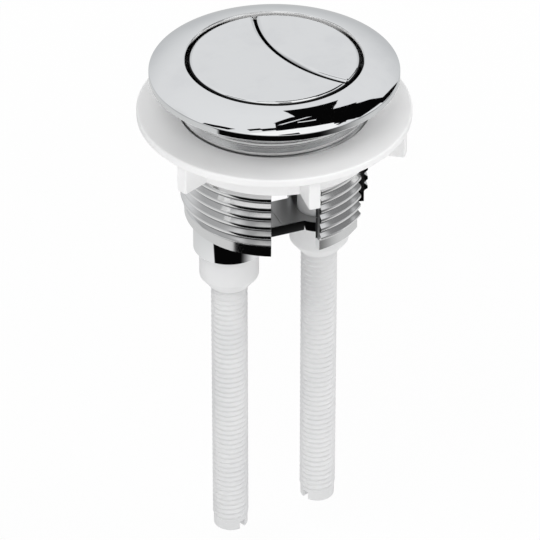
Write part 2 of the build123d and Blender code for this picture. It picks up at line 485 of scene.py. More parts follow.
class Bench:
    """Adds nodes to one node tree, which starts empty."""

    def __init__(self, tree: bpy.types.NodeTree) -> None:
        """Empties the tree and keeps it."""
        tree.nodes.clear()
        self.tree = tree

    def node(
        self,
        kind: str,
        settings: Mapping[str, object] | None = None,
        sockets: Mapping[Union[str, int], SocketValue] | None = None,
        output: Union[str, int] = 0,
    ) -> Wire:
        """Adds one node.

        Args:
            kind: Blender's type name of the node.
            settings: Properties of the node, set first; "stops" gives a ramp's places and colours.
            sockets: Numbers, colours or wires for its inputs.
            output: Output that the caller goes on with.

        Returns:
            That output.
        """
        node = self.tree.nodes.new(kind)
        for name, value in (settings or {}).items():
            if name == "stops":
                self._set_stops(node.color_ramp, value)
            else:
                setattr(node, name, value)
        for key, value in (sockets or {}).items():
            if isinstance(value, Wire):
                self.tree.links.new(value.socket, node.inputs[key])
            else:
                node.inputs[key].default_value = value
        return Wire(self, node.outputs[output] if len(node.outputs) else None)

    @staticmethod
    def _set_stops(ramp: bpy.types.ColorRamp, stops: Sequence[tuple[float, Colour]]) -> None:
        """Gives a colour ramp its stops.

        Args:
            ramp: The ramp.
            stops: Place and colour of each stop, in rising order.
        """
        while len(ramp.elements) < len(stops):
            ramp.elements.new(0.5)
        for element, (position, colour) in zip(ramp.elements, stops):
            element.position, element.color = position, opaque(colour)

    def mix(self, factor: Operand, first: SocketValue, second: SocketValue) -> Wire:
        """Colour between two colours."""
        sockets = {0: factor, 6: first, 7: second}
        return self.node("ShaderNodeMix", {"data_type": "RGBA"}, sockets, 2)

    def noise(self, place: Wire, scale: float, detail: float, roughness: float = 0.5) -> Wire:
        """Soft noise from 0 to 1 at a number of lumps per metre."""
        return self.node(
            "ShaderNodeTexNoise",
            {"noise_dimensions": "3D"},
            {"Vector": place, "Scale": scale, "Detail": detail, "Roughness": roughness},
        )

    def bump(self, height: Wire, distance: float) -> Wire:
        """Normal of a relief whose full height is a distance in metres."""
        sockets = {"Strength": 1.0, "Distance": distance, "Height": height}
        return self.node("ShaderNodeBump", {}, sockets, "Normal")

    def axes(self, vector: Wire) -> tuple[Wire, Wire, Wire]:
        """The three coordinates of a vector."""
        x = self.node("ShaderNodeSeparateXYZ", {}, {0: vector}, "X")
        return x, x.other("Y"), x.other("Z")

    def rays(self) -> tuple[Wire, Wire]:
        """1 where the camera looks straight, and 1 where it looks by way of a mirror or glass."""
        camera = self.node("ShaderNodeLightPath", output="Is Camera Ray")
        return camera, camera.other("Is Glossy Ray").larger(camera.other("Is Transmission Ray"))


def opaque(colour: Colour) -> tuple[float, float, float, float]:
    """Colour with full alpha, as a colour socket takes it."""
    return (*colour, 1.0)


def grey(level: float) -> tuple[float, float, float, float]:
    """Opaque grey."""
    return opaque((level, level, level))


WHITE = grey(1.0)


@dataclass(frozen=True)
class Finish:
    """What every finish has: a name, and a material made once and shared by its pieces."""

    name: str

    def surface(self, bench: Bench, place: Wire) -> Wire:
        """Nodes of the finish.

        Args:
            bench: Bench of the material's node tree.
            place: Object coordinates in metres.

        Returns:
            The shader's output.
        """
        raise NotImplementedError

    def material(self) -> bpy.types.Material:
        """Makes the finish's material at the first call and finds it again after that.

        Returns:
            The material.
        """
        found = bpy.data.materials.get(self.name)
        if found is not None:
            return found
        made = bpy.data.materials.new(self.name)
        made.use_nodes = True
        bench = Bench(made.node_tree)
        place = bench.node("ShaderNodeTexCoord", output="Object")
        bench.node("ShaderNodeOutputMaterial", {}, {"Surface": self.surface(bench, place)})
        return made


@dataclass(frozen=True)
class PlateZone:
    """Zone of a plated piece with its own colour, roughness or bare plastic; a low shade there is
    painted shade.

    Attributes:
        outer: Outer radius round the barrel axis, in millimetres.
        low: Lower height in millimetres.
        high: Upper height in millimetres.
        shade: Grey painted there, the share of the light that it sends back; low values are painted
            shade.
        inner: Inner radius round the barrel axis, in millimetres.
        rough: Roughness that it adds.
        metal: Metal that is left there; none shows the bare plastic.
        heading: Direction in degrees on whose side the zone lies.
        beyond: How far along that direction it begins, in millimetres.
    """

    outer: float
    low: float
    high: float
    shade: float
    inner: float = -1.0
    rough: float = 0.35
    metal: float = 1.0
    heading: float = 0.0
    beyond: float = -100.0

    EDGE_SOFTNESS: ClassVar[float] = 0.05
    SIDE_SOFTNESS: ClassVar[float] = 3.0

    def mask(self, bench: Bench, place: Wire) -> Wire:
        """Product of soft steps in radius, in distance along the heading and in height.

        Args:
            bench: Bench of the material's node tree.
            place: Object coordinates in metres.

        Returns:
            1 in the zone and 0 outside it.
        """
        x, y, z = bench.axes(place)
        away = x.math("SQRT", x * x + y * y) / METRES_PER_MM
        c, s = math.cos(math.radians(self.heading)), math.sin(math.radians(self.heading))
        along = (x * c + y * s) / METRES_PER_MM
        inside = away.band(self.inner, self.outer, self.EDGE_SOFTNESS)
        inside *= along.step(self.beyond - self.SIDE_SOFTNESS, self.beyond + self.SIDE_SOFTNESS)
        return inside * (z / METRES_PER_MM).band(self.low, self.high, self.EDGE_SOFTNESS)


@dataclass(frozen=True)
class PlatedFinish(Finish):
    """Bright plate over plastic: a mirror with faint waves, dull smudges, and zones of painted shade,
    painted light or dullness.

    Attributes:
        zones: Zones of painted shade, of painted light where bare plastic shows, or of added dullness.
        bright: Reflected colour of clean plate.
        dull: Reflected colour under a smudge.
        roughness: Roughness of clean plate.
        smudge: Roughness that a smudge adds; the lesser share of it is in specks.
        speck_share: That share.
        wave: Height in metres of the waves in the plate.
        smudges_per_metre: Fineness of the smudges.
        smudge_limits: Noise levels between which a smudge sets in.
        specks_per_metre: Fineness of the specks.
        speck_limits: Noise levels between which a speck sets in.
        waves_per_metre: Fineness of the waves.
    """

    zones: tuple[PlateZone, ...]
    bright: Colour = (0.90, 0.91, 0.915)
    dull: Colour = (0.86, 0.87, 0.88)
    roughness: float = 0.012
    smudge: float = 0.03
    speck_share: float = 0.4
    wave: float = 1.0e-6
    smudges_per_metre: float = 90.0
    smudge_limits: Span = (0.45, 0.75)
    specks_per_metre: float = 2600.0
    speck_limits: Span = (0.60, 0.80)
    waves_per_metre: float = 160.0

    def surface(self, bench: Bench, place: Wire) -> Wire:
        """Metal whose colour and roughness follow smudges and the zones' painted shade and dullness,
        and its normal the waves.

        Args:
            bench: Bench of the material's node tree.
            place: Object coordinates in metres.

        Returns:
            The shader's output.
        """
        smudges = bench.noise(place, self.smudges_per_metre, detail=4.0, roughness=0.6)
        smudges = smudges.step(*self.smudge_limits)
        specks = bench.noise(place, self.specks_per_metre, detail=1.0).step(*self.speck_limits)
        waves = bench.noise(place, self.waves_per_metre, detail=1.0)
        colour = bench.mix(smudges, opaque(self.bright), opaque(self.dull))
        grime = 1 - self.speck_share + self.speck_share * specks
        roughness = self.roughness + self.smudge * smudges * grime
        metal: Operand = 1.0
        # Each zone paints its grey into the colour: painted shade in gaps and grooves, painted light
        # where bare plastic shows
        for zone in self.zones:
            mask = zone.mask(bench, place)
            colour = bench.mix(mask, colour, grey(zone.shade))
            roughness = roughness + zone.rough * mask
            if zone.metal < 1:
                metal = metal * (1 - (1 - zone.metal) * mask)
        return bench.node(
            "ShaderNodeBsdfPrincipled",
            {},
            {
                "Base Color": colour,
                "Metallic": metal,
                "Roughness": roughness,
                "Normal": bench.bump(waves, self.wave),
            },
        )


@dataclass(frozen=True)
class MouldedFinish(Finish):
    """White moulded plastic: a soft sheen, faint clouds in the colour and a fine grained skin.

    Attributes:
        pale: Colour of most of the surface.
        cloud: Colour of the faint clouds.
        roughness: Roughness of the skin.
        roughness_swing: How far the grain changes it.
        grain: Height in metres of the grain.
        grains_per_metre: Fineness of the grain.
        clouds_per_metre: Fineness of the clouds.
        cloud_limits: Noise levels between which a cloud sets in.
    """

    pale: Colour
    cloud: Colour
    roughness: float = 0.42
    roughness_swing: float = 0.16
    grain: float = 8.0e-6
    grains_per_metre: float = 1500.0
    clouds_per_metre: float = 60.0
    cloud_limits: Span = (0.35, 0.75)

    def surface(self, bench: Bench, place: Wire) -> Wire:
        """Plastic whose colour follows large clouds, and its normal and sheen a fine grain.

        Args:
            bench: Bench of the material's node tree.
            place: Object coordinates in metres.

        Returns:
            The shader's output.
        """
        clouds = bench.noise(place, self.clouds_per_metre, detail=3.0).step(*self.cloud_limits)
        grain = bench.noise(place, self.grains_per_metre, detail=2.0, roughness=0.6)
        return bench.node(
            "ShaderNodeBsdfPrincipled",
            {},
            {
                "Base Color": bench.mix(clouds, opaque(self.pale), opaque(self.cloud)),
                "Roughness": self.roughness + self.roughness_swing * (grain - 0.5),
                "Normal": bench.bump(grain, self.grain),
            },
        )


@dataclass(frozen=True)
class WireFinish(Finish):
    """Drawn spring steel: grey metal with small dull spots of oxide.

    Attributes:
        steel: Reflected colour of clean steel.
        oxide: Reflected colour of a spot.
        roughness: Roughness of clean steel.
        spot_roughness: Roughness that a spot adds.
        spots_per_metre: Fineness of the spots.
        spot_limits: Noise levels between which a spot sets in.
    """

    steel: Colour = (0.52, 0.52, 0.53)
    oxide: Colour = (0.30, 0.29, 0.28)
    roughness: float = 0.28
    spot_roughness: float = 0.25
    spots_per_metre: float = 900.0
    spot_limits: Span = (0.5, 0.8)

    def surface(self, bench: Bench, place: Wire) -> Wire:
        """Metal whose colour and roughness follow the spots."""
        spots = bench.noise(place, self.spots_per_metre, detail=3.0).step(*self.spot_limits)
        return bench.node(
            "ShaderNodeBsdfPrincipled",
            {},
            {
                "Base Color": bench.mix(spots, opaque(self.steel), opaque(self.oxide)),
                "Metallic": 1.0,
                "Roughness": self.roughness + self.spot_roughness * spots,
            },
        )


@dataclass(frozen=True)
class FloorFinish(Finish):
    """Pale paint that keeps shadows; what is seen of it is mostly plain white, more so further out.

    Attributes:
        paint: Grey of the paint.
        near_white: Share of plain white under the object.
        spread: Distances in metres over which that share rises to all.
    """

    paint: float = 0.88
    near_white: float = 0.94
    spread: Span = (0.18, 0.6)

    def surface(self, bench: Bench, place: Wire) -> Wire:
        """Paint mixed with white for the rays that show the floor.

        Args:
            bench: Bench of the material's node tree.
            place: Object coordinates in metres.

        Returns:
            The shader's output.
        """
        away = bench.node("ShaderNodeVectorMath", {"operation": "LENGTH"}, {0: place}, "Value")
        camera_ray, mirror_ray = bench.rays()
        white = bench.node("ShaderNodeEmission", {}, {"Color": WHITE, "Strength": 1.0})
        paint = bench.node("ShaderNodeBsdfDiffuse", {}, {"Color": grey(self.paint)})
        share = self.near_white + (1 - self.near_white) * away.step(*self.spread)
        share = camera_ray.larger(mirror_ray) * share
        return bench.node("ShaderNodeMixShader", {}, {0: share, 1: paint, 2: white})


# Sub-assemblies


@dataclass
class SubAssembly:
    """What every sub-assembly has: pieces that it builds, and the finish that they share.

    Attributes:
        finish: Finish of its pieces.
        slot: Material slot of the record that the finish stands for.
        pieces: Objects made by build().
    """

    finish: ClassVar[Finish]
    slot: ClassVar[MaterialSlot]
    pieces: list[bpy.types.Object] = field(default_factory=list, init=False)

    def build(self) -> None:
        """Makes the meshes."""
        raise NotImplementedError

    def dress(self) -> None:
        """Gives the pieces their finish."""
        for piece in self.pieces:
            piece.data.materials.append(self.finish.material())


@dataclass
class FlushPart(SubAssembly):
    """What the parts of one button have.

    Attributes:
        side: The button.
        rod_offset: Distance of its rod from the barrel axis.
    """

    side: FlushSide = FlushSide.FULL
    rod_offset: float = 14.45

    @property
    def x(self) -> float:
        """Where its rod stands along X."""
        return self.side.sign * self.rod_offset

    def named(self, part: str) -> str:
        """Name of a piece, node, body or joint of this button."""
        return f"{self.side.value}_{part}"


@dataclass
class PlatedBody(SubAssembly):
    """Bezel, slotted barrel with its outside thread, guide plates and cups: one plated moulding."""

    bezel_radius: float = 36.5
    rim_height: float = 2.2
    foot_chamfer: float = 0.4
    seat_land: float = 2.0
    groove_depth: float = 2.4
    bezel_height: float = 5.85
    bulge: float = 0.65
    dome_steps: int = 24
    bezel_segments: int = 256
    opening_radius: float = 25.9
    lip: float = 0.35
    ledge_height: float = -3.05
    neck_radius: float = 27.8
    neck_end: float = -5.3
    bore_radius: float = 24.5
    barrel_end: float = -45.6
    thread_span: Span = (-42.1, 0.0)
    slot_top: float = -16.8
    tongue_spans: tuple[Span, ...] = (
        (-82.6, -46.3), (-16.0, 66.0), (97.4, 133.7), (164.0, 246.0),
    )
    barrel_step: float = 1.5
    rod_offset: float = 14.45
    stem_hole: float = 6.9
    guide_overlap: float = 1.0
    guide_edge: float = 0.15
    guide_segments: int = 144
    upper_guide: Span = (-34.8, -32.8)
    upper_guide_half_width: float = 8.5
    lower_guide: Span = (-51.8, -48.3)
    bridge_half_width: float = 6.5
    guide_end: float = 9.9
    cup_bore: float = 9.2
    cup_radius: float = 10.6
    cup_edge: float = 0.2
    cup_span: Span = (-55.8, -32.8)
    cup_arc: float = 207.0
    cup_arc_centre: float = 28.5
    cup_points: int = 140
    thread: Thread = Thread(
        root=26.7,
        depth=1.1,
        pitch=3.2,
        fade=1.0,
        start=-42.1,
        phases=(0.0, 0.025, 0.05, 0.19, 0.32, 0.34, 0.36, 0.38, 0.5),
        rises=(0.0, 0.025, 0.09, 0.49, 0.87, 0.93, 0.975, 1.0, 1.0),
    )
    slot: ClassVar[MaterialSlot] = MaterialSlot.PLATED_BODY
    # Gap's painted shade, its back's painted light, painted shade on lower guide and in grooves,
    # thread, neck, plain band
    finish: ClassVar[Finish] = PlatedFinish(
        "bright_plate_on_body",
        (
            # Painted shade: black on the opening's wall in the gap round the caps
            PlateZone(26.0, -3.6, 5.5, shade=0.02),
            # Painted light: bare pale plastic on the gap's back side, in two bands
            PlateZone(26.0, 3.6, 5.6, shade=0.92, metal=0.0, heading=58.0, beyond=19.5),
            PlateZone(26.0, 5.0, 5.6, shade=0.92, metal=0.0, heading=58.0, beyond=5.0),
            # Painted shade on the lower guide's top inside the barrel
            PlateZone(20.0, -48.5, -48.1, shade=0.45),
            # Painted shade in the thread grooves; the three zones below only add dullness
            PlateZone(26.75, -42.3, -12.0, shade=0.32, inner=25.6),
            PlateZone(28.5, -46.0, -12.0, shade=0.9, inner=26.75, rough=0.11),
            PlateZone(28.5, -12.0, 2.3, shade=0.86, inner=26.0, rough=0.24),
            PlateZone(26.75, -46.0, -42.3, shade=0.9, inner=26.0, rough=0.11),
        ),
    )

    def dome(self) -> Points:
        """Bezel's top from rim to lip: the circle through both with the bulge as its rise.

        Returns:
            Radius and height of each point.
        """
        rim = np.array([self.bezel_radius, self.rim_height])
        lip = np.array([self.opening_radius + self.lip, self.bezel_height])
        chord = lip - rim
        length = float(np.hypot(*chord))
        radius = (length**2 / 4 + self.bulge**2) / (2 * self.bulge)
        outward = np.array([chord[1], -chord[0]]) / length
        centre = (rim + lip) / 2 + outward * (self.bulge - radius)
        start, end = (math.atan2(*(point - centre)[::-1]) for point in (rim, lip))
        return centre + radius * circle(np.linspace(start, end, self.dome_steps + 1))

    def bezel(self) -> Shell:
        """Turned bezel and neck: rounded corners up to the rim, the dome, and the lip's corners.

        Returns:
            The closed shell.
        """
        foot = self.bezel_radius - self.foot_chamfer
        groove = foot - self.seat_land
        dome = self.dome()
        below = [
            (self.bore_radius, self.neck_end, 0.1),
            (self.neck_radius, self.neck_end, 0.1),
            (self.neck_radius, self.groove_depth, 0.3),
            (groove, self.groove_depth, 0.3),
            (groove, 0.0, 0.15),
            (foot, 0.0, 0.15),
            (self.bezel_radius, self.foot_chamfer, 0.12),
            (*dome[0], 0.2),
        ]
        # These two only give the corners at the dome's ends their direction
        along_dome = [(*dome[1], 0.02), (*dome[-2], 0.02)]
        inside = [
            (*dome[-1], 0.15),
            (self.opening_radius, self.bezel_height - self.lip, 0.15),
            (self.opening_radius, self.ledge_height, 0.1),
            (self.bore_radius, self.ledge_height, 0.1),
        ]
        curves = rounded(below + along_dome + inside)
        first, last = (part.reshape(-1, 2) for part in (curves[: len(below)], curves[-len(inside) :]))
        return turned(np.concatenate([first, dome[1:-1], last]), self.bezel_segments)

    def barrel(self) -> list[Shell]:
        """Threaded ring and the tongues below it, all parts of one helical wall.

        Returns:
            One closed wall for the ring and one for each tongue.
        """
        shells = []
        spans = [((0.0, 360.0), self.slot_top, self.neck_end)]
        spans += [(span, self.barrel_end, self.slot_top) for span in self.tongue_spans]
        for (start, end), low, high in spans:
            steps = round((end - start) / self.barrel_step)
            turn = np.radians(np.linspace(start, end, steps + 1))
            z = self.thread.helix_rows(turn, low, high)
            outer = self.thread.radius(turn[:, None], z, *self.thread_span)
            shells.append(wall(turn, z, outer, np.full_like(outer, self.bore_radius)))
        return shells

    def guide(
        self, reach: Callable[[Points], Points], corners: Sequence[Place], span: Span
    ) -> list[Shell]:
        """Guide plate in two halves, each from its stem hole out to a reach set by the direction.

        Args:
            reach: Distance of the outline from the hole's centre at angles in radians.
            corners: X and Y from there of the outline's corners at one side; the other mirrors it.
            span: Heights of the lower and the upper face.

        Returns:
            The two halves.
        """
        turns = [sign * math.atan2(y, x) for sign in (-1, 1) for x, y in corners]
        around = np.linspace(-np.pi, np.pi, self.guide_segments, endpoint=False)
        a = np.sort(np.concatenate([around, turns]))
        insets, heights = edge_rounding(self.guide_edge, *span, steps=3)
        outside = reach(a)[:, None] - insets[None]
        inside = self.stem_hole + np.broadcast_to(insets[::-1][None], outside.shape)
        r = np.concatenate([outside, inside], axis=1)
        z = np.concatenate([heights, heights[::-1]])[None]
        points = polar(r, a[:, None], z, (self.rod_offset, 0.0))
        half = Shell.grid(points, wrap_rows=True, wrap_cols=True)
        return [half, half.moved(turn=180.0)]

    def cups(self) -> list[Shell]:
        """Open cups round the collars, half a turn from each other.

        Returns:
            The two cups.
        """
        start = self.cup_arc_centre - self.cup_arc / 2
        turn = np.radians(np.linspace(start, start + self.cup_arc, self.cup_points))
        insets, heights = edge_rounding(self.cup_edge, *self.cup_span, steps=3)
        rows, drawn_in = (
            np.broadcast_to(level[None], (len(turn), len(level))) for level in (heights, insets)
        )
        outer, inner = self.cup_radius - drawn_in, self.cup_bore + drawn_in
        cup = wall(turn, rows, outer, inner, (self.rod_offset, 0.0))
        return [cup, cup.moved(turn=180.0)]

    def guides(self) -> list[Shell]:
        """Two guide plates and the cups below them.

        Returns:
            The plates' halves and the two cups.
        """
        offset, edge = self.rod_offset, self.bore_radius + self.guide_overlap
        half, bridge = self.upper_guide_half_width, self.bridge_half_width

        def to_side(s: Points, width: float) -> Points:
            """Distance to a side at a half width, for the sine of the angle."""
            return width / np.maximum(np.abs(s), TINY)

        def to_middle(c: Points, otherwise: float) -> Points:
            """Distance to the barrel's middle, for the cosine of the angle."""
            return np.where(c < 0, offset / np.maximum(-c, TINY), otherwise)

        def bar(a: Points) -> Points:
            """Reach of half the upper guide: the nearest of its sides, the middle and the barrel.

            Args:
                a: Angles in radians.

            Returns:
                Distance of the outline at each angle.
            """
            c, s = np.cos(a), np.sin(a)
            to_barrel = -offset * c + np.sqrt(edge**2 - (offset * s) ** 2)
            return np.minimum(np.minimum(to_side(s, half), to_middle(c, np.inf)), to_barrel)

        def dog_bone(a: Points) -> Points:
            """Reach of half the lower guide: its round end, or the bridge if that goes further."""
            c, s = np.cos(a), np.sin(a)
            return np.maximum(self.guide_end, np.minimum(to_side(s, bridge), to_middle(c, 0.0)))

        far = math.sqrt(edge**2 - half**2) - offset
        neck = math.sqrt(self.guide_end**2 - bridge**2)
        return [
            *self.guide(bar, [(-offset, half), (far, half)], self.upper_guide),
            *self.guide(dog_bone, [(-offset, bridge), (-neck, bridge)], self.lower_guide),
            *self.cups(),
        ]

    def build(self) -> None:
        """Makes the bezel, the barrel and the guides, which all stand for the body."""
        self.pieces = [
            make_piece("plated_bezel", [self.bezel()], "body", "body"),
            make_piece("plated_barrel", self.barrel(), "body", "body"),
            make_piece("plated_guides", self.guides(), "body", "body"),
        ]


@dataclass
class ButtonCap(FlushPart):
    """One button: a plated cap with a bevelled edge, hollow below, and a ribbed hub on its stem."""

    radius: float = 24.9
    top: float = 5.85
    depth: float = 3.1
    skin: float = 1.7
    rim_chamfer: float = 0.1
    ceiling_fillet: Span = (0.3, 0.05)
    bevel: float = 1.5
    bevel_places: tuple[float, ...] = (0.0, 0.2, 0.8, 0.92, 1.0)
    bevel_slopes: tuple[float, ...] = (90.0, 43.0, 28.5, 24.0, 0.0)
    bevel_steps: int = 24
    top_guard: float = 0.15
    middle: float = 11.0
    split_radius: float = 43.5
    split_centre: Span = (45.0, 11.0)
    split_gap: float = 0.8
    split_steps: int = 90
    hub_radius: float = 8.7
    hub_bore: float = 6.7
    hub_end: float = -12.8
    hub_segments: int = 72
    rib_thickness: float = 1.4
    rib_end: float = 1.85
    rib_edge: float = 0.15
    rib_overlap: float = 1.0
    ceiling_overlap: float = 0.05
    slot: ClassVar[MaterialSlot] = MaterialSlot.PLATED_CAP
    # Painted shade: black on the caps' sides and on the foot of their bevel inside the gaps
    finish: ClassVar[Finish] = PlatedFinish(
        "bright_plate_on_caps",
        (
            PlateZone(30.0, 2.6, 5.15, shade=0.02),
            PlateZone(30.0, 4.8, 5.48, shade=0.02, inner=24.0),
        ),
    )

    def outlines(self, insets: Points) -> Points:
        """Plans of the cap drawn in by several insets: an arc of the disc and one of the split.

        Both arcs run between the two points where the circles cross, found from their radii and the
        distance of their centres.

        Args:
            insets: Distances inside the cap's edge.

        Returns:
            Anticlockwise outlines, shaped (insets, points, 2).
        """
        inset = insets[:, None]
        apart = math.hypot(*self.split_centre)
        lean = math.atan2(self.split_centre[1], self.split_centre[0])
        disc = self.radius - inset
        half = self.side is FlushSide.HALF
        inside = -1.0 if half else 1.0
        split = self.split_radius + inside * (self.split_gap / 2 + inset)
        along = (apart**2 + disc**2 - split**2) / (2 * apart)
        across = np.sqrt(disc**2 - along**2)
        disc_corner = np.arctan2(across, along)
        split_corner = np.arctan2(across, along - apart)
        t = np.linspace(0.0, 1.0, 2 * self.split_steps, endpoint=False)[None]
        u = np.linspace(0.0, 1.0, self.split_steps, endpoint=False)[None]
        if half:
            disc_turn = disc_corner * (2 * t - 1)
            split_turn = split_corner + (FULL_TURN - 2 * split_corner) * u
        else:
            disc_turn = disc_corner + (FULL_TURN - 2 * disc_corner) * t
            split_turn = FULL_TURN - split_corner - (FULL_TURN - 2 * split_corner) * u
        disc_arc = disc[..., None] * circle(disc_turn + lean)
        split_arc = split[..., None] * circle(split_turn + lean)
        return np.concatenate([disc_arc, split_arc + np.asarray(self.split_centre)], axis=1)

    def edge_profile(self) -> tuple[Points, Points]:
        """Soft bevel from the side wall up to the flat top.

        Its slope falls from upright to level and is nearly even over the bevel; summed along the
        curve, the slope's cosine gives the inset and its sine the height.

        Returns:
            Inset from the outline and depth below the top, from the wall to the flat.
        """
        along = (np.arange(self.bevel_steps) + 0.5) / self.bevel_steps
        slope = np.radians(np.interp(along, self.bevel_places, self.bevel_slopes))
        inset = np.cumsum(np.cos(slope)) * self.bevel / self.bevel_steps
        depth = np.cumsum(np.sin(slope)[::-1])[::-1] * self.bevel / self.bevel_steps
        return np.concatenate([[0.0], inset]), np.concatenate([depth, [0.0]])

    def cap(self) -> Shell:
        """Hollow cap: in under the skin, down the inside, round the lower rim and over the top.

        Returns:
            The closed shell.
        """
        bottom, under, rim = self.top - self.depth, self.top - self.skin, self.rim_chamfer
        fillet_in, fillet_down = self.ceiling_fillet
        over, drop = self.edge_profile()
        inside = np.array([
            (self.skin + fillet_in, under), (self.skin, under - fillet_down),
            (self.skin, bottom + rim), (self.skin - rim, bottom), (rim, bottom), (0.0, bottom + rim),
        ])
        insets = np.concatenate([inside[:, 0], over, [over[-1] + self.top_guard]])
        heights = np.concatenate([inside[:, 1], self.top - drop, [self.top]])
        return lofted(self.outlines(insets), heights, (self.side.sign * self.middle, 0.0))

    def fittings(self) -> list[Shell]:
        """Hub tube under the cap, and the rib from it to the cap's wall.

        Returns:
            The hub and the rib.
        """
        under = self.top - self.skin + self.ceiling_overlap
        corners = [
            (self.hub_bore, self.hub_end, 0.3), (self.hub_radius, self.hub_end, 0.3),
            (self.hub_radius, under, 0.05), (self.hub_bore, under, 0.05),
        ]
        edge = self.radius - self.skin
        length = edge - self.rod_offset - self.hub_radius + self.rib_overlap
        rib = block(length, self.rib_thickness, self.rib_end, under, self.rib_edge)
        return [
            turned(rounded(corners), self.hub_segments, (self.x, 0.0)),
            rib.moved((self.side.sign * (edge - length / 2), 0.0, 0.0)),
        ]

    def build(self) -> None:
        """Makes the cap with its hub as one piece."""
        shells = [self.cap(), *self.fittings()]
        self.pieces = [
            make_piece(self.named("cap"), shells, self.side.value, self.named("button"))
        ]


@dataclass
class Plunger(FlushPart):
    """White moulding on one side: a hollow stem, and a collar that narrows to the rod."""

    collar_end: float = -65.4
    socket_top: float = -27.2
    stem_top: float = 4.15
    stem_radius: float = 6.6
    socket_radius: float = 5.65
    collar_radius: float = 8.9
    collar_top: float = -52.1
    cone_height: float = 3.6
    end_lip: float = 0.4
    segments: int = 96
    slot: ClassVar[MaterialSlot] = MaterialSlot.WHITE_PLUNGER
    finish: ClassVar[Finish] = MouldedFinish(
        "moulded_plunger_plastic", pale=(0.87, 0.872, 0.875), cloud=(0.83, 0.832, 0.838)
    )

    def moulding(self) -> Shell:
        """Turned section from the roof of the socket, round the collar and up to the stem's top.

        Returns:
            The closed shell.
        """
        cone_end = self.collar_end - self.cone_height
        corners = [
            (0.0, self.socket_top, 0.01),
            (self.socket_radius, self.socket_top, 0.2),
            (self.socket_radius, cone_end, 0.1),
            (self.socket_radius + self.end_lip, cone_end, 0.12),
            (self.collar_radius, self.collar_end, 0.5),
            (self.collar_radius, self.collar_top, 0.3),
            (self.stem_radius, self.collar_top, 0.3),
            (self.stem_radius, self.stem_top, 0.3),
            (0.0, self.stem_top, 0.01),
        ]
        curves = rounded(corners)[1:-1].reshape(-1, 2)
        section = np.concatenate([[corners[0][:2]], curves, [corners[-1][:2]]])
        return turned(section, self.segments, (self.x, 0.0), closed=False)

    def build(self) -> None:
        """Makes the moulding."""
        name, node = self.named("plunger_moulding"), self.named("plunger")
        self.pieces = [make_piece(name, [self.moulding()], self.side.value, node)]


@dataclass
class ThreadedRod(FlushPart):
    """White rod screwed into a plunger: threaded to a plain tip with a screwdriver slot."""

    end: float = -158.4
    slot_turn: float = -67.0
    length: float = 110.0
    segments: int = 48
    tip_length: float = 3.5
    tip_radius: float = 5.2
    tip_overlap: float = 0.3
    tip_edge: float = 0.35
    tip_points: int = 40
    slot_width: float = 2.0
    slot_depth: float = 2.8
    drum_chamfer: float = 0.02
    drum_segments: int = 64
    half_middle: Span = (0.0, 3.0)
    thread: Thread = Thread(root=5.05, depth=0.45, pitch=1.77, fade=0.6)
    slot: ClassVar[MaterialSlot] = MaterialSlot.WHITE_ROD
    finish: ClassVar[Finish] = MouldedFinish(
        "moulded_rod_plastic", pale=(0.80, 0.802, 0.805), cloud=(0.755, 0.758, 0.765)
    )

    def shank(self) -> Shell:
        """Threaded length, closed at both ends by a flat disc.

        Returns:
            The closed shell.
        """
        low, high = self.end + self.tip_length, self.end + self.length
        turn = np.linspace(0.0, FULL_TURN, self.segments + 1)
        z = self.thread.helix_rows(turn, low, high)
        r = self.thread.radius(turn[:, None], z, low, high)
        r = np.pad(r, ((0, 0), (1, 1)))
        z = np.pad(z, ((0, 0), (1, 1)), mode="edge")
        return Shell.grid(polar(r, turn[:, None], z))

    def tip(self) -> list[Shell]:
        """Plain end: a short drum, and below it the two halves that the slot leaves.

        Each half's plan is an arc closed by a chord; its levels are the same plan drawn in.

        Returns:
            The drum and the two halves.
        """
        roof, top = self.end + self.slot_depth, self.end + self.tip_length + self.tip_overlap
        radius, chamfer = self.tip_radius, self.drum_chamfer
        drum = np.array([
            (0.0, roof), (radius - chamfer, roof), (radius, roof + chamfer), (radius, top), (0.0, top),
        ])
        insets, heights = edge_rounding(self.tip_edge, self.end, roof)
        insets[heights > roof - self.tip_edge - TINY] = 0.0
        arc = (radius - insets)[:, None]
        chord = (self.slot_width / 2 + insets)[:, None]
        start = np.arcsin(chord / arc)
        a = start + (np.pi - 2 * start) * np.linspace(0.0, 1.0, self.tip_points)[None]
        half = lofted(arc[..., None] * circle(a), heights, self.half_middle)
        return [turned(drum, self.drum_segments, closed=False), half, half.moved(turn=180.0)]

    def build(self) -> None:
        """Makes the rod where it stands, its slot turned as in the photograph."""
        shells = [
            shell.moved((self.x, 0.0, 0.0), self.slot_turn) for shell in (self.shank(), *self.tip())
        ]
        rod = self.named("rod")
        self.pieces = [make_piece(self.named("threaded_rod"), shells, rod, rod)]


